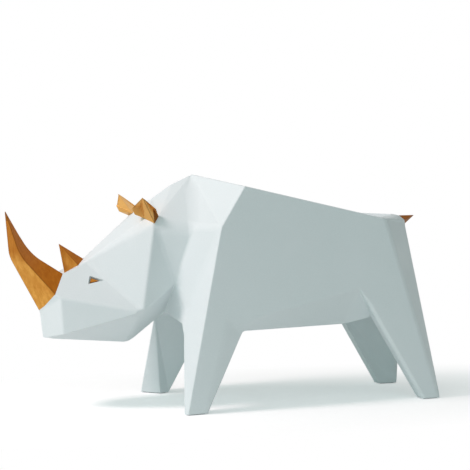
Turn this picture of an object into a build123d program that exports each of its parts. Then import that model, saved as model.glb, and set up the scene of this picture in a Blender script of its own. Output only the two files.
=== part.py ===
"""Faceted rhinoceros planter: a hollow cast figure with gilded horns, ears, eyes and tail.

Millimetres. The head points to -X and the floor is Z = 0. The origin lies under the middle of the figure.
A landmark is given by its station along X, its half-width from the mirror plane and its height.
"""

import os

from build123d import *

# Head, on the mirror plane
nose_x, nose_z = -114, 60
chin_front_x, chin_front_z = -112, 43.5
chin_rear_x, chin_rear_z = -58.5, 39
notch_x, notch_z = -101.3, 83.2
saddle_x, saddle_z = -98.5, 83
brow_x, brow_z = -86.5, 91.3
poll_x, poll_z = -43, 128
throat_x, throat_z = -35, 57

# Head, to the side
brow_half, brow_drop = 5, 1
rear_horn_seat_share = 0.6
muzzle_top_x, muzzle_top_half, muzzle_top_z = -105, 16.5, 69.5
muzzle_low_x, muzzle_low_half, muzzle_low_z = -103, 15, 47
jaw_x, jaw_half, jaw_z = -57.5, 30, 60.5
ear_seat_front_x, ear_seat_front_half, ear_seat_front_z = -53, 18, 116
ear_seat_side_x, ear_seat_side_half, ear_seat_side_z = -48.5, 24, 113.5
ear_seat_rear_x, ear_seat_rear_half, ear_seat_rear_z = -44.5, 20, 117.5
ear_seat_reach = 17

# Neck, shoulder and chest
pocket_x, pocket_half, pocket_z = -35, 21.2, 76.2
neck_x, neck_half, shoulder_z = -25.6, 30, 111.5
shoulder_x, shoulder_half = -13.5, 46
chest_x, chest_half, chest_z = -27.3, 31, 79.5
brisket_x, brisket_half, brisket_z = -30, 31.2, 62.5
armpit_x, armpit_half, armpit_z = -32.4, 30.8, 52

# Rim of the planting trough
hump_x, hump_z = -18, 142
rim_front_x, rim_front_half, rim_front_z = 2.5, 43, 136
rim_rear_x, rim_rear_half, rim_rear_z = 99, 34, 114
rump_top_x, rump_top_z = 123, 114
rump_low_x, rump_low_z = 127, 108.5
tail_seat_half = 4

# Flank and belly
flank_front_x, flank_front_half, flank_front_z = 6.3, 46, 55.7
flank_rear_x, flank_rear_half, flank_rear_z = 79, 38, 71
belly_z = 48.5
belly_front_x, belly_front_half, leg_inner_half = 1, 43.5, 26
belly_rear_x, belly_rear_half = 73.5, 28

# Front leg and foot
elbow_x, elbow_half, elbow_z = -9.2, 47.5, 55.3
front_foot_x, front_foot_half = -35.8, 50.2
front_foot_length, front_foot_width = 15.1, 13.2
front_toe_width, front_toe_lead, front_sole_length = 3.5, 1.4, 8.8
front_heel_taper = 2

# Hind leg and foot
stifle_x, stifle_half, stifle_z = 81.5, 38, 68
groin_x, groin_half, groin_z = 91.5, 28, 52
arch_x, arch_z = 115, 68
hind_foot_x, hind_foot_half = 122.3, 39
hind_foot_length, hind_foot_width = 12.7, 9
hind_heel_taper = 1

# Trough
rim_wall = 5
side_wall = 8
floor_thickness = 8
draft = 4
trough_overshoot = 0.2

# Front horn
horn_knee_front_x, horn_knee_front_z = -132.5, 94
horn_knee_side_x, horn_knee_half, horn_knee_side_z = -127.5, 8, 95
horn_knee_back_x, horn_knee_back_z = -120, 95.7
horn_tip_x, horn_tip_z = -135, 121
horn_spigot_radius, horn_spigot_length = 5, 9

# Rear horn
rear_horn_tip_x, rear_horn_tip_z = -102, 101
rear_horn_spigot_radius, rear_horn_spigot_length = 2.5, 7

# Ear
ear_tip_x, ear_tip_half, ear_tip_z = -57.5, 28, 130
ear_front_x, ear_front_half, ear_front_z = -60.5, 18, 123
ear_fold_x, ear_fold_half, ear_fold_z = -55.7, 18, 122.9
ear_notch_x, ear_notch_half, ear_notch_z = -48.8, 21.5, 122.6
ear_bulge_x, ear_bulge_half, ear_bulge_z = -47, 23.5, 122
ear_spigot_radius, ear_spigot_length = 2, 6

# Eye, on the upper side of the muzzle
eye_from_muzzle, eye_up = 14.8, 12.8
eye_length, eye_height, eye_apex_rise = 8.8, 5.8, 4.4
eye_socket_depth, eye_thickness, eye_ledge = 2.2, 1.4, 0.9

# Tail
tail_tip_x, tail_tip_z = 133.5, 114
tail_spigot_radius, tail_spigot_length = 1.6, 6

# Drain and its plug
drain_radius = 5
plug_flange_radius, plug_flange_thickness = 9, 2.5
plug_knob_radius, plug_knob_height = 3, 6

# Foot pads
pad_thickness, pad_proud = 1, 0.4
pad_inset = 1.5

# Fits
glue_clearance = 0.15
plug_clearance = 0.05


def left(station, half_width, height):
    """Landmark on the left flank, which lies towards -Y."""
    return Vector(station, -half_width, height)


def middle(station, height):
    """Landmark on the mirror plane."""
    return Vector(station, 0, height)


def mirrored(point):
    """The same landmark on the right flank."""
    return Vector(point.X, -point.Y, point.Z)


def both_sides(left_loops):
    """Loops of left landmarks together with their mirror images."""
    right_loops = [[mirrored(point) for point in loop] for loop in left_loops]
    return left_loops + right_loops


def faceted(loops):
    """Closed solid of flat facets. Each loop of landmarks is a fan of triangles about its first one."""
    triangles = []
    for loop in loops:
        for second, third in zip(loop[1:], loop[2:]):
            triangles.append(Face(Wire.make_polygon([loop[0], second, third])))
    return Solid(Shell(triangles)).clean()


def out_to(point, facet):
    """Landmark straight out to the left of a point on the mirror plane, where a facet's plane is met."""
    run = (facet.origin - point).dot(facet.z_dir) / -facet.z_dir.Y
    return point - Vector(0, run, 0)


def seat(first, second, third, middle_of):
    """Plane through three landmarks in right-hand order, with its origin at the middle of some landmarks."""
    normal = (second - first).cross(third - first)
    origin = sum(middle_of, Vector()) / len(middle_of)
    return Plane(origin=origin, x_dir=second - first, z_dir=normal)


# Landmarks of the head
nose = middle(nose_x, nose_z)
chin_front = middle(chin_front_x, chin_front_z)
chin_rear = middle(chin_rear_x, chin_rear_z)
notch = middle(notch_x, notch_z)
saddle = middle(saddle_x, saddle_z)
brow_middle = middle(brow_x, brow_z)
brow = left(brow_x, brow_half, brow_z - brow_drop)
poll = middle(poll_x, poll_z)
throat = middle(throat_x, throat_z)
muzzle_top = left(muzzle_top_x, muzzle_top_half, muzzle_top_z)
muzzle_low = left(muzzle_low_x, muzzle_low_half, muzzle_low_z)
jaw = left(jaw_x, jaw_half, jaw_z)
ear_seat_front = left(ear_seat_front_x, ear_seat_front_half, ear_seat_front_z)
ear_seat_side = left(ear_seat_side_x, ear_seat_side_half, ear_seat_side_z)
ear_seat_rear = left(ear_seat_rear_x, ear_seat_rear_half, ear_seat_rear_z)

# The horns' seats run out to the plane of the upper cheek
cheek = seat(muzzle_top, jaw, brow, [muzzle_top])
horn_side = out_to((nose + notch) / 2, cheek)
notch_side = out_to(notch, cheek)
rear_horn_side = out_to(saddle + (brow_middle - saddle) * rear_horn_seat_share, cheek)

# Landmarks of the neck, shoulder, chest and rim
pocket = left(pocket_x, pocket_half, pocket_z)
neck = left(neck_x, neck_half, shoulder_z)
shoulder = left(shoulder_x, shoulder_half, shoulder_z)
chest = left(chest_x, chest_half, chest_z)
brisket = left(brisket_x, brisket_half, brisket_z)
armpit = left(armpit_x, armpit_half, armpit_z)
hump = middle(hump_x, hump_z)
forehead = seat(brow_middle, ear_seat_front, poll, [poll])
nape = seat(hump, poll, ear_seat_side, [poll])
ear_seat_top = poll + nape.z_dir.cross(forehead.z_dir).normalized() * ear_seat_reach
rim_front = left(rim_front_x, rim_front_half, rim_front_z)
rim_rear = left(rim_rear_x, rim_rear_half, rim_rear_z)
rump_top = middle(rump_top_x, rump_top_z)
rump_low = middle(rump_low_x, rump_low_z)
tail_side = (rump_top + rump_low) / 2 + Vector(0, -tail_seat_half, 0)

# Landmarks of the flank, belly and legs
flank_front = left(flank_front_x, flank_front_half, flank_front_z)
flank_rear = left(flank_rear_x, flank_rear_half, flank_rear_z)
belly_front = left(belly_front_x, belly_front_half, belly_z)
belly_front_middle = middle(belly_front_x, belly_z)
leg_inner = left(belly_front_x, leg_inner_half, belly_z)
belly_rear = left(belly_rear_x, belly_rear_half, belly_z)
belly_rear_middle = middle(belly_rear_x, belly_z)
elbow = left(elbow_x, elbow_half, elbow_z)
stifle = left(stifle_x, stifle_half, stifle_z)
groin = left(groin_x, groin_half, groin_z)
groin_middle = middle(groin_x, groin_z)
arch = middle(arch_x, arch_z)

# Corners of the soles, which stand just clear of the floor on their pads
front_heel_x = front_foot_x + front_foot_length
front_inner_half = front_foot_half - front_foot_width
front_toe = left(front_foot_x, front_foot_half, pad_proud)
front_toe_inner = left(front_foot_x - front_toe_lead, front_foot_half - front_toe_width, pad_proud)
front_sole_inner = left(front_foot_x + front_sole_length, front_inner_half, pad_proud)
front_heel_inner = left(front_heel_x, front_inner_half + front_heel_taper, pad_proud)
front_heel = left(front_heel_x - front_heel_taper, front_foot_half - front_heel_taper, pad_proud)
front_foot = [front_toe, front_toe_inner, front_sole_inner, front_heel_inner, front_heel]
hind_heel_x = hind_foot_x + hind_foot_length
hind_inner_half = hind_foot_half - hind_foot_width
hind_toe = left(hind_foot_x, hind_foot_half, pad_proud)
hind_toe_inner = left(hind_foot_x, hind_inner_half, pad_proud)
hind_heel_inner = left(hind_heel_x, hind_inner_half - hind_heel_taper, pad_proud)
hind_heel = left(hind_heel_x, hind_foot_half - hind_heel_taper, pad_proud)
hind_foot = [hind_toe, hind_toe_inner, hind_heel_inner, hind_heel]

ear_seat_loop = [ear_seat_rear, ear_seat_top, ear_seat_front, ear_seat_side]
head_loops = [
    [nose, horn_side, notch_side, notch],
    [saddle, notch, notch_side, rear_horn_side],
    [saddle, rear_horn_side, brow_middle],
    [rear_horn_side, brow, brow_middle],
    [nose, chin_front, muzzle_low, muzzle_top, horn_side],
    [muzzle_top, jaw, brow, rear_horn_side, notch_side, horn_side],
    [muzzle_low, jaw, muzzle_top],
    [chin_front, chin_rear, jaw, muzzle_low],
    [chin_rear, throat, jaw],
    [brow, jaw, ear_seat_side, ear_seat_front],
    [poll, brow_middle, brow, ear_seat_front, ear_seat_top],
    ear_seat_loop,
]
neck_loops = [
    [hump, poll, ear_seat_top, ear_seat_rear, ear_seat_side],
    [hump, ear_seat_side, neck],
    [ear_seat_side, jaw, pocket],
    [ear_seat_side, pocket, neck],
    [throat, armpit, brisket, pocket, jaw],
    [hump, neck, shoulder, rim_front],
    [neck, pocket, chest, shoulder],
    [pocket, brisket, chest],
]
front_leg_loops = [
    [shoulder, chest, brisket, armpit, front_toe_inner, front_toe],
    [front_toe, front_heel, elbow, shoulder],
    [shoulder, elbow, flank_front],
    [elbow, front_heel, belly_front, flank_front],
    [belly_front, front_heel, front_heel_inner, leg_inner],
    [armpit, leg_inner, front_heel_inner, front_sole_inner, front_toe_inner],
    front_foot,
]
trunk_loops = [
    [rim_front, shoulder, flank_front, flank_rear, rim_rear],
    [flank_front, belly_front, belly_rear, flank_rear],
    [flank_rear, belly_rear, groin, stifle],
    [throat, belly_front_middle, leg_inner, armpit],
    [belly_rear_middle, belly_rear, belly_front, leg_inner, belly_front_middle],
    [belly_rear_middle, groin_middle, groin, belly_rear],
    [groin_middle, arch, groin],
    [hump, rim_front, rim_rear, rump_top],
    [rump_top, tail_side, rump_low],
]
hind_leg_loops = [
    [rim_rear, flank_rear, stifle, hind_toe, hind_heel],
    [rim_rear, hind_heel, rump_low, tail_side, rump_top],
    [stifle, groin, hind_toe_inner, hind_toe],
    [groin, arch, hind_heel_inner, hind_toe_inner],
    [rump_low, hind_heel, hind_heel_inner, arch],
    hind_foot,
]

# Plan of the trough at the rim: the rim's outline set in by its wall
rim_outline = [hump, rim_front, rim_rear, rump_top, mirrored(rim_rear), mirrored(rim_front)]
with BuildSketch() as rim_plan:
    with BuildLine():
        Polyline([(corner.X, corner.Y) for corner in rim_outline], close=True)
    make_face()
    offset(amount=-rim_wall, kind=Kind.INTERSECTION)
inner_rim = rim_plan.vertices().sort_by(Axis.X)
inner_front, inner_rear = inner_rim[0], inner_rim[-1]
inner_left_front, inner_left_rear = inner_rim.filter_by_position(Axis.Y, -rim_front_half, -rim_wall)

# Corners of the trough: each wall runs from the floor through the inner rim and on past it
floor_z = belly_z + floor_thickness
trough_corners = [
    (middle(inner_front.X + draft, floor_z), middle(inner_front.X, hump_z)),
    (left(inner_left_front.X + draft, -inner_left_front.Y - draft, floor_z),
     Vector(inner_left_front.X, inner_left_front.Y, rim_front_z)),
    (left(belly_rear_x, belly_rear_half - draft, floor_z),
     Vector(inner_left_rear.X, inner_left_rear.Y, rim_rear_z)),
    (middle(groin_x - side_wall, floor_z), middle(inner_rear.X, rump_top_z)),
]
trough = []
for low, high in trough_corners:
    past_rim = high + (high - low) * trough_overshoot
    trough.extend([low, past_rim, mirrored(low), mirrored(past_rim)])
drain_x = (trough_corners[0][0].X + trough_corners[-1][0].X) / 2

# Seats of the gilded pieces, each with its normal pointing out of the figure
horn_seat = seat(nose, horn_side, notch, [nose, notch])
rear_horn_seat = seat(saddle, rear_horn_side, brow_middle, [saddle, brow_middle])
ear_seat = seat(ear_seat_front, ear_seat_side, ear_seat_rear, [ear_seat_front, ear_seat_rear])
tail_seat = seat(rump_top, tail_side, rump_low, [rump_top, rump_low])
eye_corners = [
    (eye_from_muzzle, eye_up),
    (eye_from_muzzle + eye_length, eye_up + eye_apex_rise),
    (eye_from_muzzle, eye_up + eye_height),
]

# Spigots go into the figure along their seats' normals
into_seat = (Align.CENTER, Align.CENTER, Align.MAX)

with BuildPart() as left_eye:
    with BuildSketch(cheek.offset(-eye_socket_depth)):
        with BuildLine():
            Polyline(eye_corners, close=True)
        make_face()
        offset(amount=-eye_ledge, kind=Kind.INTERSECTION)
    extrude(amount=eye_thickness)

with BuildPart() as right_eye:
    mirror(left_eye.part, about=Plane.XZ)

with BuildPart() as body_shell:
    add(faceted(both_sides(head_loops + neck_loops + front_leg_loops + trunk_loops + hind_leg_loops)))
    ConvexPolyhedron(trough, mode=Mode.SUBTRACT)
    with Locations((drain_x, 0, floor_z)):
        Hole(drain_radius)
    with Locations(horn_seat):
        Cylinder(horn_spigot_radius + glue_clearance, horn_spigot_length + glue_clearance,
                 align=into_seat, mode=Mode.SUBTRACT)
    with Locations(rear_horn_seat):
        Cylinder(rear_horn_spigot_radius + glue_clearance, rear_horn_spigot_length + glue_clearance,
                 align=into_seat, mode=Mode.SUBTRACT)
    with Locations(tail_seat):
        Cylinder(tail_spigot_radius + glue_clearance, tail_spigot_length + glue_clearance,
                 align=into_seat, mode=Mode.SUBTRACT)
    with BuildSketch(cheek):
        with BuildLine():
            Polyline(eye_corners, close=True)
        make_face()
    left_eye_socket = extrude(amount=-eye_socket_depth, mode=Mode.PRIVATE)
    add(left_eye_socket, mode=Mode.SUBTRACT)
    mirror(left_eye_socket, about=Plane.XZ, mode=Mode.SUBTRACT)
    with Locations(ear_seat):
        left_ear_socket = Cylinder(ear_spigot_radius + glue_clearance, ear_spigot_length + glue_clearance,
                                   align=into_seat, mode=Mode.SUBTRACT)
    mirror(left_ear_socket, about=Plane.XZ, mode=Mode.SUBTRACT)
    with BuildSketch(Plane.XY.offset(pad_proud)):
        for foot in (front_foot, hind_foot):
            with BuildLine():
                Polyline([(corner.X, corner.Y) for corner in foot], close=True)
            make_face()
        offset(amount=glue_clearance - pad_inset, kind=Kind.INTERSECTION)
    left_pad_recesses = extrude(amount=pad_thickness - pad_proud, mode=Mode.PRIVATE)
    add(left_pad_recesses, mode=Mode.SUBTRACT)
    mirror(left_pad_recesses, about=Plane.XZ, mode=Mode.SUBTRACT)

knee_front = middle(horn_knee_front_x, horn_knee_front_z)
knee_side = left(horn_knee_side_x, horn_knee_half, horn_knee_side_z)
knee_back = middle(horn_knee_back_x, horn_knee_back_z)
horn_tip = middle(horn_tip_x, horn_tip_z)
front_horn_loops = [
    [nose, horn_side, notch_side, notch],
    [nose, knee_front, knee_side, horn_side],
    [horn_side, knee_side, knee_back, notch_side],
    [knee_back, notch, notch_side],
    [knee_front, horn_tip, knee_side],
    [knee_side, horn_tip, knee_back],
]
with BuildPart() as front_horn:
    add(faceted(both_sides(front_horn_loops)))
    with Locations(horn_seat):
        Cylinder(horn_spigot_radius, horn_spigot_length, align=into_seat)

rear_horn_tip = middle(rear_horn_tip_x, rear_horn_tip_z)
with BuildPart() as rear_horn:
    ConvexPolyhedron([saddle, rear_horn_side, brow_middle, mirrored(rear_horn_side), rear_horn_tip])
    with Locations(rear_horn_seat):
        Cylinder(rear_horn_spigot_radius, rear_horn_spigot_length, align=into_seat)

ear_tip = left(ear_tip_x, ear_tip_half, ear_tip_z)
ear_front = left(ear_front_x, ear_front_half, ear_front_z)
ear_fold = left(ear_fold_x, ear_fold_half, ear_fold_z)
ear_notch = left(ear_notch_x, ear_notch_half, ear_notch_z)
ear_bulge = left(ear_bulge_x, ear_bulge_half, ear_bulge_z)
ear_loops = [
    ear_seat_loop,
    [ear_fold, ear_front, ear_seat_front, ear_tip, ear_front],
    [ear_tip, ear_seat_front, ear_seat_side, ear_notch],
    [ear_notch, ear_seat_side, ear_seat_rear, ear_bulge],
    [ear_bulge, ear_seat_rear, ear_seat_top],
    [ear_tip, ear_notch, ear_bulge, ear_seat_top, ear_front],
    [ear_front, ear_seat_top, ear_seat_front],
]
with BuildPart() as left_ear:
    add(faceted(ear_loops))
    with Locations(ear_seat):
        Cylinder(ear_spigot_radius, ear_spigot_length, align=into_seat)

with BuildPart() as right_ear:
    mirror(left_ear.part, about=Plane.XZ)

tail_tip = middle(tail_tip_x, tail_tip_z)
with BuildPart() as tail:
    ConvexPolyhedron([rump_top, tail_side, rump_low, mirrored(tail_side), tail_tip])
    with Locations(tail_seat):
        Cylinder(tail_spigot_radius, tail_spigot_length, align=into_seat)

with BuildPart() as drain_plug:
    with BuildSketch(Plane.XY.offset(floor_z)):
        with Locations((drain_x, 0)):
            Circle(plug_flange_radius)
    extrude(amount=plug_flange_thickness)
    with BuildSketch(Plane.XY.offset(floor_z)):
        with Locations((drain_x, 0)):
            Circle(drain_radius - plug_clearance)
    extrude(amount=-floor_thickness)
    with BuildSketch(Plane.XY.offset(floor_z + plug_flange_thickness)):
        with Locations((drain_x, 0)):
            Circle(plug_knob_radius)
    extrude(amount=plug_knob_height)

with BuildPart() as front_left_pad:
    with BuildSketch():
        with BuildLine():
            Polyline([(corner.X, corner.Y) for corner in front_foot], close=True)
        make_face()
        offset(amount=-pad_inset, kind=Kind.INTERSECTION)
    extrude(amount=pad_thickness)

with BuildPart() as front_right_pad:
    mirror(front_left_pad.part, about=Plane.XZ)

with BuildPart() as rear_left_pad:
    with BuildSketch():
        with BuildLine():
            Polyline([(corner.X, corner.Y) for corner in hind_foot], close=True)
        make_face()
        offset(amount=-pad_inset, kind=Kind.INTERSECTION)
    extrude(amount=pad_thickness)

with BuildPart() as rear_right_pad:
    mirror(rear_left_pad.part, about=Plane.XZ)

pieces = {
    "body_shell": body_shell,
    "front_horn": front_horn,
    "rear_horn": rear_horn,
    "left_ear": left_ear,
    "right_ear": right_ear,
    "left_eye": left_eye,
    "right_eye": right_eye,
    "tail": tail,
    "drain_plug": drain_plug,
    "front_left_pad": front_left_pad,
    "front_right_pad": front_right_pad,
    "rear_left_pad": rear_left_pad,
    "rear_right_pad": rear_right_pad,
}
os.makedirs("parts", exist_ok=True)
for name, piece in pieces.items():
    piece.part.label = name
    export_step(piece.part, f"parts/{name}.step")
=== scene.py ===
"""Looks of the faceted rhinoceros planter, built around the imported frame. Metres."""

import math

import bmesh
import bpy
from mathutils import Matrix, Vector
from mathutils.kdtree import KDTree


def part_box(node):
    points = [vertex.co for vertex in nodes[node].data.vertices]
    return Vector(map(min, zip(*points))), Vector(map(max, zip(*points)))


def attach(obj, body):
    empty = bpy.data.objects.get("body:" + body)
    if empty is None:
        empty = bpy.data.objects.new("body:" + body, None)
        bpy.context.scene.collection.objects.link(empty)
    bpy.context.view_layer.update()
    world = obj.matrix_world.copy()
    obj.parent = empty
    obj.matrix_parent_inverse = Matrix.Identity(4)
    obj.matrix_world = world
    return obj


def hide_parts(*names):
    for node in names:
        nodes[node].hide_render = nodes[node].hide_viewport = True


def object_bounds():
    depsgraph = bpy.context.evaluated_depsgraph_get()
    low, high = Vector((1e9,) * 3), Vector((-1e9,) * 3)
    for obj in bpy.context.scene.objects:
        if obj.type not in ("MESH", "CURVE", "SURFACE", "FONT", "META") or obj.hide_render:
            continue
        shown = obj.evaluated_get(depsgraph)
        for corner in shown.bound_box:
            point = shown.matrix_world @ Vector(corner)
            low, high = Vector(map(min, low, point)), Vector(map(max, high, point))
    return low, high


MM = 0.001

# Camera, fitted to the feet and ears in the photograph
CAMERA_TURN = math.radians(19.04)
CAMERA_RISE = math.radians(3.84)
CAMERA_DISTANCE = 1.12565
CAMERA_AIM = Vector((0.01098, 0, 0.10365))
CAMERA_CLIP = (0.01, 50)
FOCAL_PIXELS = 1800
IMAGE_PIXELS = 470
SENSOR = 36

# Light: a soft key lamp, and a room that is brighter from the head and the photographed flank
KEY_FROM = Vector((-0.71, -0.11, 0.7)).normalized()
KEY_DISTANCE = 0.75
KEY_SIZE = 0.18
KEY_POWER = 2.8
KEY_COLOUR = (1.0, 0.8, 0.82)
ROOM_COLOUR = (0.25, 0.275, 0.265)
LEFT, LEFT_COLOUR = (-1, 0, 0), (0.06, 0.17, 0.15)
FRONT, FRONT_COLOUR = (-0.707, -0.707, 0), (0.53, 0.57, 0.59)

# Floor: the light that it sends back, what is seen of it, and how far out it turns white
FLOOR_HALF = 4
FLOOR_BOUNCE = (0.92, 0.95, 0.95)
FLOOR_SEEN = (0.98, 0.98, 0.98)
FLOOR_GLOW = (0.275, 0.285, 0.285)
WHITE_REACH = (0.1, 0.3)
WHITE_STRETCH = (0.85, 2.2, 1)

# Value ranges of textures: full, of nearly all noise, of the brush streaks and of the patches of
# wear and painted highlight on the resin's edges
UNIT = (0, 1)
NOISE_RANGE = (0.3, 0.7)
STREAK_RANGE = (0.28, 0.72)
WEAR_AND_HIGHLIGHT_RANGE = (0.35, 0.65)

# Resin paint: the two tones of its clouds, its grain, and its edges, lighter as wear and as painted
# highlight
RESIN_CLOUDS = ((0.71, 0.79, 0.795), (0.74, 0.81, 0.82))
RESIN_GRAIN = (0.76, 0.83, 0.835)
RESIN_WORN_AND_HIGHLIGHT = (0.8, 0.86, 0.865)
RESIN_ROUGHNESS = (0.5, 0.64)
RESIN_SPECULAR = 0.35

# Gold paint: the two tones of its streaks and the tone of its patches, light for lit facets and
# deep as painted shade
LIGHT_STREAKS, LIGHT_PATCH = ((0.54, 0.235, 0.034), (0.82, 0.44, 0.1)), (0.5, 0.19, 0.024)
SHADE_STREAKS, SHADE_PATCH = ((0.34, 0.095, 0.008), (0.45, 0.155, 0.017)), (0.4, 0.13, 0.012)
PALE_GOLD = (0.88, 0.52, 0.17)
DARKEST_SHADE_GOLD = (0.13, 0.045, 0.006)
RIM_GOLD = (0.16, 0.05, 0.007)
BRUSH_STRETCH = (1, 1, 0.22)
BRUSH_TURN = (0, math.radians(-32), 0)
GILT_ROUGHNESS = (0.44, 0.3)
GILT_METALLIC = 0.6
GILT_SPECULAR = 0.05
# Heights between which a horn turns to the deep tone of its tip
TIP_HEIGHTS = (88 * MM, 97 * MM)
# Directions that a facet faces when it is painted in the deep tone, as painted shade
BACK_UP = (0.707, 0, 0.707)
BACK = (1, 0, 0)
LEFT_EAR_OUT, RIGHT_EAR_OUT = (0.35, -0.93, 0.1), (0.35, 0.93, 0.1)
EAR_PAINT = {"tones": (0.91, 0.96), "pale": 0.65, "dark": 0.7, "rim": 0.25}

# Rubber: the dark and the light tone of its mottling
PLUG_TONES = ((0.035, 0.036, 0.038), (0.07, 0.07, 0.072))
PAD_TONES = ((0.1, 0.105, 0.11), (0.17, 0.175, 0.18))
RUBBER_ROUGHNESS = (0.62, 0.82)

# Rounding of the castings' edges: an offset is set back from the edge, a radius is of the rounding
FLAT_ANGLE = math.radians(6)
BEVEL_UNIT = 10 * MM
BEVEL_SEGMENTS = 5
SOFT_OFFSET = 3.0 * MM
EDGE_OFFSET = 1.1 * MM
CRISP_OFFSET = 0.7 * MM
SOFT_ANGLE, CRISP_ANGLE = math.radians(40), math.radians(60)
CREST_OFFSET = 2 * MM
HUMP_RADIUS = 6 * MM
GILT_RADIUS = 0.5 * MM
EAR_RADIUS = 0.4 * MM
PLUG_RADIUS = 0.7 * MM
PAD_RADIUS = 0.2 * MM
TIP_OFFSET = 0.12 * MM
SEAT_OFFSET = 0.05 * MM
# Share of a neighbouring edge that a rounding may take, and when two edges count as one line
OFFSET_SHARE = 0.3
IN_LINE_ANGLE = math.radians(15)
# A point of a horn is a tip if few edges meet in it and one of them is sharp
TIP_EDGES = 4
TIP_ANGLE = math.radians(95)
UNROUNDED_ANGLE = math.radians(35)
NARROW_FACE = 1.2 * MM
FACET_WEIGHT = 100
MERGE_DISTANCE = 2e-6
SEAT_MATCH = 0.02 * MM
MIRROR_MATCH = 0.01 * MM
HEIGHT_MATCH = 0.1 * MM
EDGE_MATCH = MM

# Landmarks of the part, mm. Those off the middle plane are on the photographed side, y < 0.
# Front horn: its seat, its knee and its tip, with how far each ridge's knee is eased
NOSE = (-114, 0, 60)
HORN_SIDE = (-107.65, -14.65, 71.6)
NOTCH_SIDE = (-101.3, -7.62, 83.2)
KNEE_FRONT = (-132.5, 0, 94)
KNEE_SIDE = (-127.5, -8, 95)
KNEE_BACK = (-120, 0, 95.7)
HORN_TIP = (-135, 0, 121)
HORN_EASE = (0.12, 0.22, 0.35, 0.35, 0.22)
HORN_ROWS = 32
HORN_TIP_LEAD = Vector((0, 0, 1.2)) * MM
# Front edge of the ear, and the corner of its seat that is drawn under it,
# so that the forehead runs into the nape
EAR_FRONT = (-60.5, -18, 123)
EAR_FOOT = (-53, -18, 116)
EAR_INNER = (-52.6, -9.8, 118)
EAR_FRONT_LEAD = Vector((-1.0, 0, -0.2)) * MM
EAR_LIP = (-59.5, -18, 118.8)
# Crest of the nape, from the neck to the hump,
# with how far its rounded line lies over the straight one
CREST_FOOT = (-43, 0, 128)
CREST_TOP = (-18, 0, 142)
CREST_SIDE = (-44.5, -20, 117.5)
CREST_RISE = Vector((0, 0, 1.4)) * MM
# Edge from the hump to the neck: its foot, the share of it that stays tight at the hump,
# and the point where it turns broad
BLEND_FOOT = (-25.6, -30, 111.5)
BLEND_START = 0.3
BLEND_TOP = (-20.28, -9, 132.85)
# Body edges with a radius of their own: neck crease, rump, hump to neck, front of the hind leg
BROAD_EDGES = (
    (((-48.5, -24, 113.5), BLEND_FOOT), 14 * MM),
    (((99, -34, 114), (135, -38, 0.4)), 6 * MM),
    ((BLEND_FOOT, BLEND_TOP), 16 * MM),
    (((79, -38, 71), (81.5, -38, 68), (122.3, -39, 0.4)), 3 * MM),
)
# Room round an eye in which the faces of its socket lie, and how far a socket's cutter stands out
EYE_MARGIN = 3 * MM
CUTTER_LEAD = 0.5

PAD_NODES = ["front_left_pad", "front_right_pad", "rear_left_pad", "rear_right_pad"]

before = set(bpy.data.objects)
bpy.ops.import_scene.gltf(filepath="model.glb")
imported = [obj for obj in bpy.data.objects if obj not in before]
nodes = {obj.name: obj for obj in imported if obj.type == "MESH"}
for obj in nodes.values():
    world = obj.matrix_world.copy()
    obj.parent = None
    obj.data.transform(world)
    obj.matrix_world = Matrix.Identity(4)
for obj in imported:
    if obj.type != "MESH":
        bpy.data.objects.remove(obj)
cad_low, cad_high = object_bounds()
scene = bpy.context.scene


# Shader nodes

def new_material(name):
    """Material with an empty node tree that has a Principled shader and its output."""
    material = bpy.data.materials.new(name)
    material.use_nodes = True
    tree = material.node_tree
    tree.nodes.clear()
    shader = tree.nodes.new("ShaderNodeBsdfPrincipled")
    output = tree.nodes.new("ShaderNodeOutputMaterial")
    tree.links.new(shader.outputs["BSDF"], output.inputs["Surface"])
    return material, tree, shader


def object_coordinates(tree, scale=(1, 1, 1), turn=(0, 0, 0)):
    """Object coordinates, turned and stretched."""
    source = tree.nodes.new("ShaderNodeTexCoord")
    mapping = tree.nodes.new("ShaderNodeMapping")
    mapping.inputs["Scale"].default_value = scale
    mapping.inputs["Rotation"].default_value = turn
    tree.links.new(source.outputs["Object"], mapping.inputs["Vector"])
    return mapping.outputs["Vector"]


def noise(tree, vector, scale, detail=3.0, roughness=0.5):
    """Noise texture, with its scale per metre."""
    node = tree.nodes.new("ShaderNodeTexNoise")
    node.inputs["Scale"].default_value = scale
    node.inputs["Detail"].default_value = detail
    node.inputs["Roughness"].default_value = roughness
    tree.links.new(vector, node.inputs["Vector"])
    return node.outputs["Fac"]


def spread(tree, value, source, target):
    """A value moved from one range to another, and held within it."""
    node = tree.nodes.new("ShaderNodeMapRange")
    node.inputs["From Min"].default_value, node.inputs["From Max"].default_value = source
    node.inputs["To Min"].default_value, node.inputs["To Max"].default_value = target
    tree.links.new(value, node.inputs["Value"])
    return node.outputs["Result"]


def combine(tree, operation, first, second):
    """Two values joined by a math operation."""
    node = tree.nodes.new("ShaderNodeMath")
    node.operation = operation
    tree.links.new(first, node.inputs[0])
    tree.links.new(second, node.inputs[1])
    return node.outputs["Value"]


def towards(tree, direction, axis, cosines=UNIT):
    """How far a direction points along an axis: 0 up to the first cosine, 1 from the second on."""
    along = tree.nodes.new("ShaderNodeVectorMath")
    along.operation = "DOT_PRODUCT"
    along.inputs[1].default_value = axis
    tree.links.new(direction, along.inputs[0])
    return spread(tree, along.outputs["Value"], cosines, UNIT)


def mix_colours(tree, factor, first, second, blend="MIX"):
    """Mix of two colours, each a tuple or a socket."""
    node = tree.nodes.new("ShaderNodeMix")
    node.data_type = "RGBA"
    node.blend_type = blend
    if hasattr(factor, "is_linked"):
        tree.links.new(factor, node.inputs[0])
    else:
        node.inputs[0].default_value = factor
    for socket, colour in ((node.inputs[6], first), (node.inputs[7], second)):
        if hasattr(colour, "is_linked"):
            tree.links.new(colour, socket)
        else:
            socket.default_value = (*colour, 1)
    return node.outputs[2]


def edge_mark(tree):
    """1 on the narrow faces of rounded edges, from the attribute that mark_edges writes."""
    node = tree.nodes.new("ShaderNodeAttribute")
    node.attribute_name = "edge"
    return node.outputs["Fac"]


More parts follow.
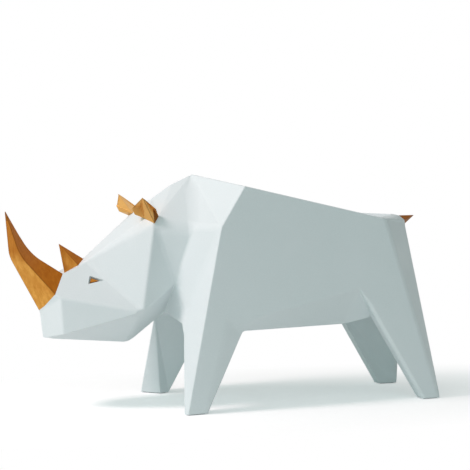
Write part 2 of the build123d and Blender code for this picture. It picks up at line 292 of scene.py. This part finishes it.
def add_bump(tree, shader, heights):
    """Chain of bumps, each a height socket with its strength and depth in metres."""
    normal = None
    for height, strength, depth in heights:
        node = tree.nodes.new("ShaderNodeBump")
        node.inputs["Strength"].default_value = strength
        node.inputs["Distance"].default_value = depth
        tree.links.new(height, node.inputs["Height"])
        if normal is not None:
            tree.links.new(normal, node.inputs["Normal"])
        normal = node.outputs["Normal"]
    tree.links.new(normal, shader.inputs["Normal"])


# Materials

def resin_material():
    """Pale mint paint on cast resin: faint clouds, fine grain, and rounded edges a little lighter,
    partly wear and partly painted highlight.
    """
    material, tree, shader = new_material("mint_resin")
    place = object_coordinates(tree)
    clouds = spread(tree, noise(tree, place, scale=22, detail=5, roughness=0.6), NOISE_RANGE, UNIT)
    colour = mix_colours(tree, clouds, *RESIN_CLOUDS)
    grain = spread(tree, noise(tree, place, scale=1300, detail=2), NOISE_RANGE, (0, 0.6))
    colour = mix_colours(tree, grain, colour, RESIN_GRAIN)
    # Rounded edges painted lighter in patches: part wear, part painted highlight along the edges
    patchy_wear_and_highlight = spread(tree, noise(tree, place, scale=160, detail=4), WEAR_AND_HIGHLIGHT_RANGE, (0, 0.25))
    wear_and_highlight = combine(tree, "MULTIPLY", edge_mark(tree), patchy_wear_and_highlight)
    colour = mix_colours(tree, wear_and_highlight, colour, RESIN_WORN_AND_HIGHLIGHT)
    tree.links.new(colour, shader.inputs["Base Color"])
    sheen = spread(tree, noise(tree, place, scale=60, detail=4), NOISE_RANGE, RESIN_ROUGHNESS)
    tree.links.new(sheen, shader.inputs["Roughness"])
    shader.inputs["Specular IOR Level"].default_value = RESIN_SPECULAR
    add_bump(tree, shader, [
        (noise(tree, place, scale=90, detail=3), 0.12, 0.4 * MM),
        (noise(tree, place, scale=1100, detail=2), 0.12, 0.1 * MM),
    ])
    return material


def gilt_material(name, axis, tones, pale=0, dark=0, rim=0.55, tip_tone=0):
    """Coppery gold paint in brushed streaks, brown along its edges.

    Painted shade: facets that face along the axis are painted deep, from light to deep between the
    two cosines in tones; above the horn's knee the deep tone comes in by tip_tone. The shares pale
    and dark shift the two tones.
    """
    material, tree, shader = new_material(name)
    place = object_coordinates(tree)
    along = object_coordinates(tree, BRUSH_STRETCH, BRUSH_TURN)
    brushed = noise(tree, along, scale=420, detail=5, roughness=0.65)
    streaks = spread(tree, brushed, STREAK_RANGE, UNIT)
    patches = spread(tree, noise(tree, place, scale=90, detail=4), NOISE_RANGE, UNIT)
    light = mix_colours(tree, streaks, *LIGHT_STREAKS)
    light = mix_colours(tree, spread(tree, patches, UNIT, (0, 0.6)), light, LIGHT_PATCH)
    light = mix_colours(tree, pale, light, PALE_GOLD)
    # Deep tone: painted shade, for the facets turned along the axis
    deep = mix_colours(tree, streaks, *SHADE_STREAKS)
    deep = mix_colours(tree, spread(tree, patches, UNIT, (0, 0.5)), deep, SHADE_PATCH)
    deep = mix_colours(tree, dark, deep, DARKEST_SHADE_GOLD)
    facing = tree.nodes.new("ShaderNodeNewGeometry")
    # How far a facet turns along the axis sets how much painted shade it gets
    tone = towards(tree, facing.outputs["Normal"], axis, tones)
    position = tree.nodes.new("ShaderNodeSeparateXYZ")
    tree.links.new(place, position.inputs["Vector"])
    tip = spread(tree, position.outputs["Z"], TIP_HEIGHTS, (0, tip_tone))
    colour = mix_colours(tree, combine(tree, "MAXIMUM", tone, tip), light, deep)
    colour = mix_colours(tree, spread(tree, edge_mark(tree), UNIT, (0, rim)), colour, RIM_GOLD)
    tree.links.new(colour, shader.inputs["Base Color"])
    shader.inputs["Metallic"].default_value = GILT_METALLIC
    tree.links.new(spread(tree, streaks, UNIT, GILT_ROUGHNESS), shader.inputs["Roughness"])
    shader.inputs["Specular IOR Level"].default_value = GILT_SPECULAR
    add_bump(tree, shader, [
        (streaks, 0.25, 0.08 * MM),
        (noise(tree, place, scale=1500, detail=2), 0.12, 0.05 * MM),
    ])
    return material


def rubber_material(name, tones, scale):
    """Matt rubber with dust-grey mottling."""
    material, tree, shader = new_material(name)
    place = object_coordinates(tree)
    mottle = spread(tree, noise(tree, place, scale, detail=4, roughness=0.6), NOISE_RANGE, UNIT)
    tree.links.new(mix_colours(tree, mottle, *tones), shader.inputs["Base Color"])
    tree.links.new(spread(tree, mottle, UNIT, RUBBER_ROUGHNESS), shader.inputs["Roughness"])
    add_bump(tree, shader, [(noise(tree, place, scale * 5, detail=2), 0.3, 0.1 * MM)])
    return material


resin = resin_material()
horn_gilt = gilt_material("gold_paint", BACK_UP, (-0.5, 0.2), tip_tone=0.7)
eye_gilt = gilt_material("gold_paint_eyes", BACK, (-1.5, 0.75))
gilt = {
    "front_horn": horn_gilt,
    "rear_horn": horn_gilt,
    "left_ear": gilt_material("gold_paint_left_ear", LEFT_EAR_OUT, **EAR_PAINT),
    "right_ear": gilt_material("gold_paint_right_ear", RIGHT_EAR_OUT, **EAR_PAINT),
    "left_eye": eye_gilt,
    "right_eye": eye_gilt,
    "tail": gilt_material("gold_paint_tail", BACK_UP, (-1.3, -0.2), dark=0.6),
}
plug_rubber = rubber_material("plug_rubber", PLUG_TONES, scale=500)
pad_rubber = rubber_material("pad_rubber", PAD_TONES, scale=700)


# Shapes: each CAD node's mesh with its facets joined, and with the forms that the looks add

def facets_of(node):
    """Mesh of a CAD node with its duplicate points merged and its flat facets joined."""
    mesh = bmesh.new()
    mesh.from_mesh(nodes[node].data)
    bmesh.ops.remove_doubles(mesh, verts=mesh.verts, dist=MERGE_DISTANCE)
    bmesh.ops.dissolve_limit(mesh, angle_limit=FLAT_ANGLE, verts=mesh.verts, edges=mesh.edges)
    mesh.normal_update()
    return mesh


def on_side(point, side):
    """A landmark in metres, on the photographed side or mirrored to the other one."""
    return Vector((point[0], point[1] * side, point[2])) * MM


def corner(mesh, point, side=1):
    """The mesh's point at a landmark."""
    target = on_side(point, side)
    return min(mesh.verts, key=lambda v: (v.co - target).length)


def edge_between(first, second):
    """The edge that joins two points."""
    return next(e for e in first.link_edges if e.other_vert(first) is second)


def in_box(point, low, high, margin):
    """True for a point in a box or within a margin of it."""
    return all(low[i] - margin < point[i] < high[i] + margin for i in range(3))


def socket_cutter(faces):
    """Prism that fills an eye socket and stands out of the cheek, with the socket's rim points."""
    floor = next(f for f in faces if len(f.verts) == 3)
    deep = list(floor.verts)
    rim = [next(e.other_vert(v) for e in v.link_edges if e.other_vert(v) not in deep)
           for v in deep]
    outside = [r.co.lerp(v.co, -CUTTER_LEAD) for v, r in zip(deep, rim)]
    prism = bmesh.new()
    corners = [prism.verts.new(point) for point in [v.co.copy() for v in deep] + outside]
    for face in ((0, 1, 2), (3, 4, 5), (0, 1, 4, 3), (1, 2, 5, 4), (2, 0, 3, 5)):
        prism.faces.new([corners[i] for i in face])
    bmesh.ops.recalc_face_normals(prism, faces=prism.faces)
    data = bpy.data.meshes.new("socket")
    prism.to_mesh(data)
    prism.free()
    cutter = bpy.data.objects.new("socket", data)
    scene.collection.objects.link(cutter)
    return cutter, rim


def fill_sockets(mesh):
    """The eye sockets closed, so that the rounding runs past them. Cutters open them again."""
    for low, high in eye_boxes:
        faces = [f for f in mesh.faces
                 if all(in_box(v.co, low, high, EYE_MARGIN) for v in f.verts)]
        cutter, rim = socket_cutter(faces)
        cutters.append(cutter)
        bmesh.ops.delete(mesh, geom=faces, context="FACES")
        mesh.faces.new(rim)
        bmesh.ops.recalc_face_normals(mesh, faces=mesh.faces)
        rim_edges = list({e for v in rim for e in v.link_edges})
        bmesh.ops.dissolve_limit(mesh, angle_limit=FLAT_ANGLE, verts=rim, edges=rim_edges)


def raise_nape(mesh):
    """The middle of the nape's crest raised, with facets from it down to the neck's sides."""
    foot, top = corner(mesh, CREST_FOOT), corner(mesh, CREST_TOP)
    sides = [corner(mesh, CREST_SIDE), corner(mesh, CREST_SIDE, -1)]
    raised = foot.co.lerp(top.co, 0.5) + CREST_RISE
    _, middle = bmesh.utils.edge_split(edge_between(foot, top), foot, 0.5)
    middle.co = raised
    for point in (middle, foot):
        for side in sides:
            shared = [f for f in point.link_faces if side in f.verts]
            joined = any(e.other_vert(point) is side for e in point.link_edges)
            if shared and not joined:
                bmesh.utils.face_split(shared[0], point, side)


def crowned_body(node):
    """Body whose rounded nape runs into the forehead, with its eye sockets left to cutters."""
    mesh = facets_of(node)
    fill_sockets(mesh)
    raise_nape(mesh)
    top = corner(mesh, CREST_TOP)
    for side in (1, -1):
        seat = corner(mesh, EAR_FOOT, side)
        inner = corner(mesh, EAR_INNER, side)
        bmesh.ops.pointmerge(mesh, verts=[inner, seat], merge_co=seat.co)
        blend = edge_between(top, corner(mesh, BLEND_FOOT, side))
        bmesh.utils.edge_split(blend, top, BLEND_START)
    mesh.normal_update()
    return mesh


def lipped_ear(node):
    """Ear whose front edge bulges into a lip over the forehead."""
    mesh = facets_of(node)
    side = 1 if node == "left_ear" else -1
    front, foot = corner(mesh, EAR_FRONT, side), corner(mesh, EAR_FOOT, side)
    front.co += EAR_FRONT_LEAD
    _, lip = bmesh.utils.edge_split(edge_between(front, foot), front, 0.5)
    lip.co = on_side(EAR_LIP, side)
    bmesh.ops.triangulate(mesh, faces=list(lip.link_faces))
    mesh.normal_update()
    return mesh


def curved(seat, knee, tip, ease):
    """Point at share s of a ridge: 0 at its seat, 1 at its eased knee and 2 at its tip."""
    def straight(s):
        return seat.lerp(knee, s) if s < 1 else knee.lerp(tip, s - 1)

    def point(s):
        if abs(s - 1) >= ease:
            return straight(s)
        u = (s - 1 + ease) / (2 * ease)
        return (straight(1 - ease) * (1 - u) ** 2 + knee * 2 * u * (1 - u)
                + straight(1 + ease) * u ** 2)
    return point


def bent_horn(node):
    """Front horn on its CAD seat and spigot, with ridges that curve through the knee."""
    mesh = facets_of(node)
    ring = [corner(mesh, NOSE), corner(mesh, HORN_SIDE), corner(mesh, NOTCH_SIDE),
            corner(mesh, NOTCH_SIDE, -1), corner(mesh, HORN_SIDE, -1)]
    knees = [corner(mesh, KNEE_FRONT), corner(mesh, KNEE_SIDE), corner(mesh, KNEE_BACK),
             corner(mesh, KNEE_BACK), corner(mesh, KNEE_SIDE, -1)]
    tip = corner(mesh, HORN_TIP)
    end = tip.co + HORN_TIP_LEAD
    ridges = [curved(base.co.copy(), knee.co.copy(), end, ease)
              for base, knee, ease in zip(ring, knees, HORN_EASE)]
    bmesh.ops.delete(mesh, geom=list(set(knees)) + [tip], context="VERTS")
    for row in range(1, HORN_ROWS):
        upper = [mesh.verts.new(ridge(2 * row / HORN_ROWS)) for ridge in ridges]
        for i in range(len(ring)):
            j = (i + 1) % len(ring)
            mesh.faces.new((ring[j], ring[i], upper[i], upper[j]))
        ring = upper
    top = mesh.verts.new(end)
    for i in range(len(ring)):
        mesh.faces.new((ring[(i + 1) % len(ring)], ring[i], top))
    bmesh.ops.remove_doubles(mesh, verts=mesh.verts, dist=MERGE_DISTANCE)
    bmesh.ops.recalc_face_normals(mesh, faces=mesh.faces)
    mesh.normal_update()
    return mesh


# Rounding

def points_of(names):
    """Search tree over the points of CAD nodes."""
    points = [vertex.co for name in names for vertex in nodes[name].data.vertices]
    tree = KDTree(len(points))
    for index, point in enumerate(points):
        tree.insert(point, index)
    tree.balance()
    return tree


gilt_points = points_of(gilt)
body_points = points_of(["body_shell"])
eye_boxes = [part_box("left_eye"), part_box("right_eye")]
hump_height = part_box("body_shell")[1].z
crest_height = CREST_FOOT[2] * MM
cutters = []


def on_seat(edge, others):
    """True for an edge that runs between corners of another casting."""
    return all(others.find(v.co)[2] < SEAT_MATCH for v in edge.verts)


def runs_along(points, landmarks):
    """True if each point lies at one of the landmarks or at its mirror image."""
    ends = [on_side(landmark, 1) for landmark in landmarks]
    return all(any((Vector((p.x, -abs(p.y), p.z)) - end).length < EDGE_MATCH for end in ends)
               for p in points)


def body_offset(edge, angle):
    """Rounding of a body edge: none round the seats of the gilded pieces."""
    points = [v.co for v in edge.verts]
    if on_seat(edge, gilt_points):
        return 0
    if all(abs(p.y) < MIRROR_MATCH and p.z > crest_height - HEIGHT_MATCH for p in points):
        return CREST_OFFSET
    if any(p.z > hump_height - HEIGHT_MATCH for p in points) and angle < SOFT_ANGLE:
        return HUMP_RADIUS * math.tan(angle / 2)
    for landmarks, radius in BROAD_EDGES:
        if runs_along(points, landmarks):
            return radius * math.tan(angle / 2)
    if angle < SOFT_ANGLE:
        return SOFT_OFFSET
    return EDGE_OFFSET if angle < CRISP_ANGLE else CRISP_OFFSET


def is_tip(point):
    """True for a point where few edges meet and one of them is sharp."""
    edges = point.link_edges
    return len(edges) <= TIP_EDGES and max(e.calc_face_angle() for e in edges) > TIP_ANGLE


def tipped_offset(edge, angle):
    """Rounding of a rear horn, eye or tail edge: tight on its seat, finer at a tip."""
    if on_seat(edge, body_points):
        return SEAT_OFFSET
    if any(is_tip(v) for v in edge.verts):
        return TIP_OFFSET
    return GILT_RADIUS * math.tan(angle / 2)


def rounded_to(radius):
    """Rounding to one radius, but tight on a seat."""
    def offset(edge, angle):
        return SEAT_OFFSET if on_seat(edge, body_points) else radius * math.tan(angle / 2)
    return offset


def in_line(first, second):
    """True for two edges that run on in one line."""
    directions = [(e.verts[1].co - e.verts[0].co).normalized() for e in (first, second)]
    return abs(directions[0].dot(directions[1])) > math.cos(IN_LINE_ANGLE)


def weigh_edges(mesh, offset_of):
    """Bevel weights: what offset_of gives for each edge, within the room its neighbours leave."""
    weight = mesh.edges.layers.float.new("bevel_weight_edge")
    for edge in mesh.edges:
        if len(edge.link_faces) != 2:
            continue
        angle = edge.calc_face_angle()
        wanted = offset_of(edge, angle) if angle > FLAT_ANGLE else 0
        if wanted > SOFT_OFFSET:
            neighbours = [side.edge for loop in edge.link_loops
                          for side in (loop.link_loop_prev, loop.link_loop_next)
                          if not in_line(side.edge, edge)]
        else:
            neighbours = [e for v in edge.verts for e in v.link_edges]
        room = OFFSET_SHARE * min(e.calc_length() for e in neighbours)
        edge[weight] = min(wanted, room) / BEVEL_UNIT


def rounded_mesh(piece):
    """Mesh of a piece with its weighted edges rounded and its cutters taken off."""
    bevel = piece.modifiers.new("rounding", "BEVEL")
    bevel.limit_method = "WEIGHT"
    bevel.offset_type = "OFFSET"
    bevel.width = BEVEL_UNIT
    bevel.segments = BEVEL_SEGMENTS
    bevel.use_clamp_overlap = False
    for cutter in cutters:
        cut = piece.modifiers.new("socket", "BOOLEAN")
        cut.operation = "DIFFERENCE"
        cut.solver = "EXACT"
        cut.object = cutter
    bpy.context.view_layer.update()
    evaluated = piece.evaluated_get(bpy.context.evaluated_depsgraph_get())
    rounded = bpy.data.meshes.new_from_object(evaluated)
    piece.modifiers.clear()
    while cutters:
        bpy.data.objects.remove(cutters.pop())
    return rounded


def sharpen(mesh):
    """Sharp shading on the edges that are left unrounded."""
    edges = bmesh.new()
    edges.from_mesh(mesh)
    for edge in edges.edges:
        edge.smooth = len(edge.link_faces) != 2 or edge.calc_face_angle() < UNROUNDED_ANGLE
    edges.to_mesh(mesh)
    edges.free()


def mark_edges(mesh):
    """Face attribute that is 1 on the narrow faces of rounded edges."""
    attribute = mesh.attributes.new("edge", "FLOAT", "FACE")
    for face in mesh.polygons:
        corners = [mesh.vertices[i].co for i in face.vertices]
        sides = [(a - b).length for a, b in zip(corners, corners[1:] + corners[:1])]
        narrow = min(sides) < NARROW_FACE and len(corners) <= 4
        attribute.data[face.index].value = 1.0 if narrow else 0.0


def soften(node, piece_name, material, body, offset_of, shape=facets_of):
    """A piece in place of a CAD node, with each edge rounded by what offset_of gives for it."""
    mesh = shape(node)
    weigh_edges(mesh, offset_of)
    for face in mesh.faces:
        face.smooth = True
    data = bpy.data.meshes.new(piece_name)
    mesh.to_mesh(data)
    mesh.free()
    piece = bpy.data.objects.new(piece_name, data)
    scene.collection.objects.link(piece)
    piece.data = rounded_mesh(piece)
    piece.data.materials.clear()
    piece.data.materials.append(material)
    sharpen(piece.data)
    mark_edges(piece.data)
    normals = piece.modifiers.new("flat_facets", "WEIGHTED_NORMAL")
    normals.keep_sharp = True
    normals.weight = FACET_WEIGHT
    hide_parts(node)
    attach(piece, body)


soften("body_shell", "body_casting", resin, "planter", body_offset, crowned_body)
for node, paint in gilt.items():
    if node == "front_horn":
        offset_of, shape = rounded_to(GILT_RADIUS), bent_horn
    elif node.endswith("ear"):
        offset_of, shape = rounded_to(EAR_RADIUS), lipped_ear
    else:
        offset_of, shape = tipped_offset, facets_of
    soften(node, node + "_gilded", paint, "planter", offset_of, shape)
for node in PAD_NODES:
    soften(node, node + "_foam", pad_rubber, "planter", rounded_to(PAD_RADIUS))
soften("drain_plug", "drain_plug_rubber", plug_rubber, "plug",
       rounded_to(PLUG_RADIUS))


# Camera, floor, world and lamp

def make_camera():
    """Camera at the photograph's angle."""
    data = bpy.data.cameras.new("camera")
    data.sensor_width = SENSOR
    data.lens = SENSOR * FOCAL_PIXELS / IMAGE_PIXELS
    data.clip_start, data.clip_end = CAMERA_CLIP
    camera = bpy.data.objects.new("camera", data)
    scene.collection.objects.link(camera)
    backwards = Vector((
        -math.sin(CAMERA_TURN) * math.cos(CAMERA_RISE),
        -math.cos(CAMERA_TURN) * math.cos(CAMERA_RISE),
        math.sin(CAMERA_RISE),
    ))
    camera.location = CAMERA_AIM + backwards * CAMERA_DISTANCE
    camera.rotation_euler = (-backwards).to_track_quat("-Z", "Y").to_euler()
    scene.camera = camera


def background_rays(tree):
    """1 for rays that see the background: from the camera, in reflections and through glass."""
    path = tree.nodes.new("ShaderNodeLightPath")
    total = path.outputs["Is Camera Ray"]
    for kind in ("Is Glossy Ray", "Is Transmission Ray"):
        total = combine(tree, "MAXIMUM", total, path.outputs[kind])
    return total


def mix_shaders(tree, factor, first, second):
    """Mix of two shaders."""
    node = tree.nodes.new("ShaderNodeMixShader")
    for socket, source in zip(node.inputs, (factor, first, second)):
        tree.links.new(source, socket)
    return node.outputs["Shader"]


def coloured(tree, kind, colour):
    """Shader node of one colour."""
    node = tree.nodes.new(kind)
    node.inputs["Color"].default_value = (*colour, 1)
    return node.outputs[0]


def make_floor():
    """Matt floor that keeps the shadow near the figure and runs out to the background's white."""
    half = FLOOR_HALF
    mesh = bpy.data.meshes.new("floor")
    points = [(-half, -half, 0), (half, -half, 0), (half, half, 0), (-half, half, 0)]
    mesh.from_pydata(points, [], [(0, 1, 2, 3)])
    floor = bpy.data.objects.new("floor", mesh)
    scene.collection.objects.link(floor)
    material = bpy.data.materials.new("white_floor")
    material.use_nodes = True
    tree = material.node_tree
    tree.nodes.clear()
    bounce = coloured(tree, "ShaderNodeBsdfDiffuse", FLOOR_BOUNCE)
    lift = tree.nodes.new("ShaderNodeAddShader")
    tree.links.new(coloured(tree, "ShaderNodeBsdfDiffuse", FLOOR_SEEN), lift.inputs[0])
    tree.links.new(coloured(tree, "ShaderNodeEmission", FLOOR_GLOW), lift.inputs[1])
    reach = tree.nodes.new("ShaderNodeVectorMath")
    reach.operation = "LENGTH"
    tree.links.new(object_coordinates(tree, WHITE_STRETCH), reach.inputs[0])
    far = spread(tree, reach.outputs["Value"], WHITE_REACH, UNIT)
    white = coloured(tree, "ShaderNodeEmission", (1, 1, 1))
    backdrop = mix_shaders(tree, far, lift.outputs["Shader"], white)
    surface = mix_shaders(tree, background_rays(tree), bounce, backdrop)
    output = tree.nodes.new("ShaderNodeOutputMaterial")
    tree.links.new(surface, output.inputs["Surface"])
    mesh.materials.append(material)


def make_world():
    """Soft room light, brighter from the head and the near flank; white as a background."""
    world = bpy.data.worlds.new("studio")
    scene.world = world
    world.use_nodes = True
    tree = world.node_tree
    tree.nodes.clear()
    direction = tree.nodes.new("ShaderNodeTexCoord").outputs["Generated"]
    colour = mix_colours(tree, towards(tree, direction, LEFT), ROOM_COLOUR, LEFT_COLOUR, "ADD")
    colour = mix_colours(tree, towards(tree, direction, FRONT), colour, FRONT_COLOUR, "ADD")
    room = tree.nodes.new("ShaderNodeBackground")
    tree.links.new(colour, room.inputs["Color"])
    white = coloured(tree, "ShaderNodeBackground", (1, 1, 1))
    surface = mix_shaders(tree, background_rays(tree), room.outputs["Background"], white)
    output = tree.nodes.new("ShaderNodeOutputWorld")
    tree.links.new(surface, output.inputs["Surface"])


def make_key():
    """Soft key lamp from the upper left."""
    lamp = bpy.data.lights.new("key", "AREA")
    lamp.shape = "DISK"
    lamp.size = KEY_SIZE
    lamp.energy = KEY_POWER
    lamp.color = KEY_COLOUR
    key = bpy.data.objects.new("key", lamp)
    scene.collection.objects.link(key)
    aim = (cad_low + cad_high) / 2
    key.location = aim + KEY_FROM * KEY_DISTANCE
    key.rotation_euler = KEY_FROM.to_track_quat("Z", "Y").to_euler()


make_camera()
make_floor()
make_world()
make_key()
scene.view_settings.view_transform = "Standard"
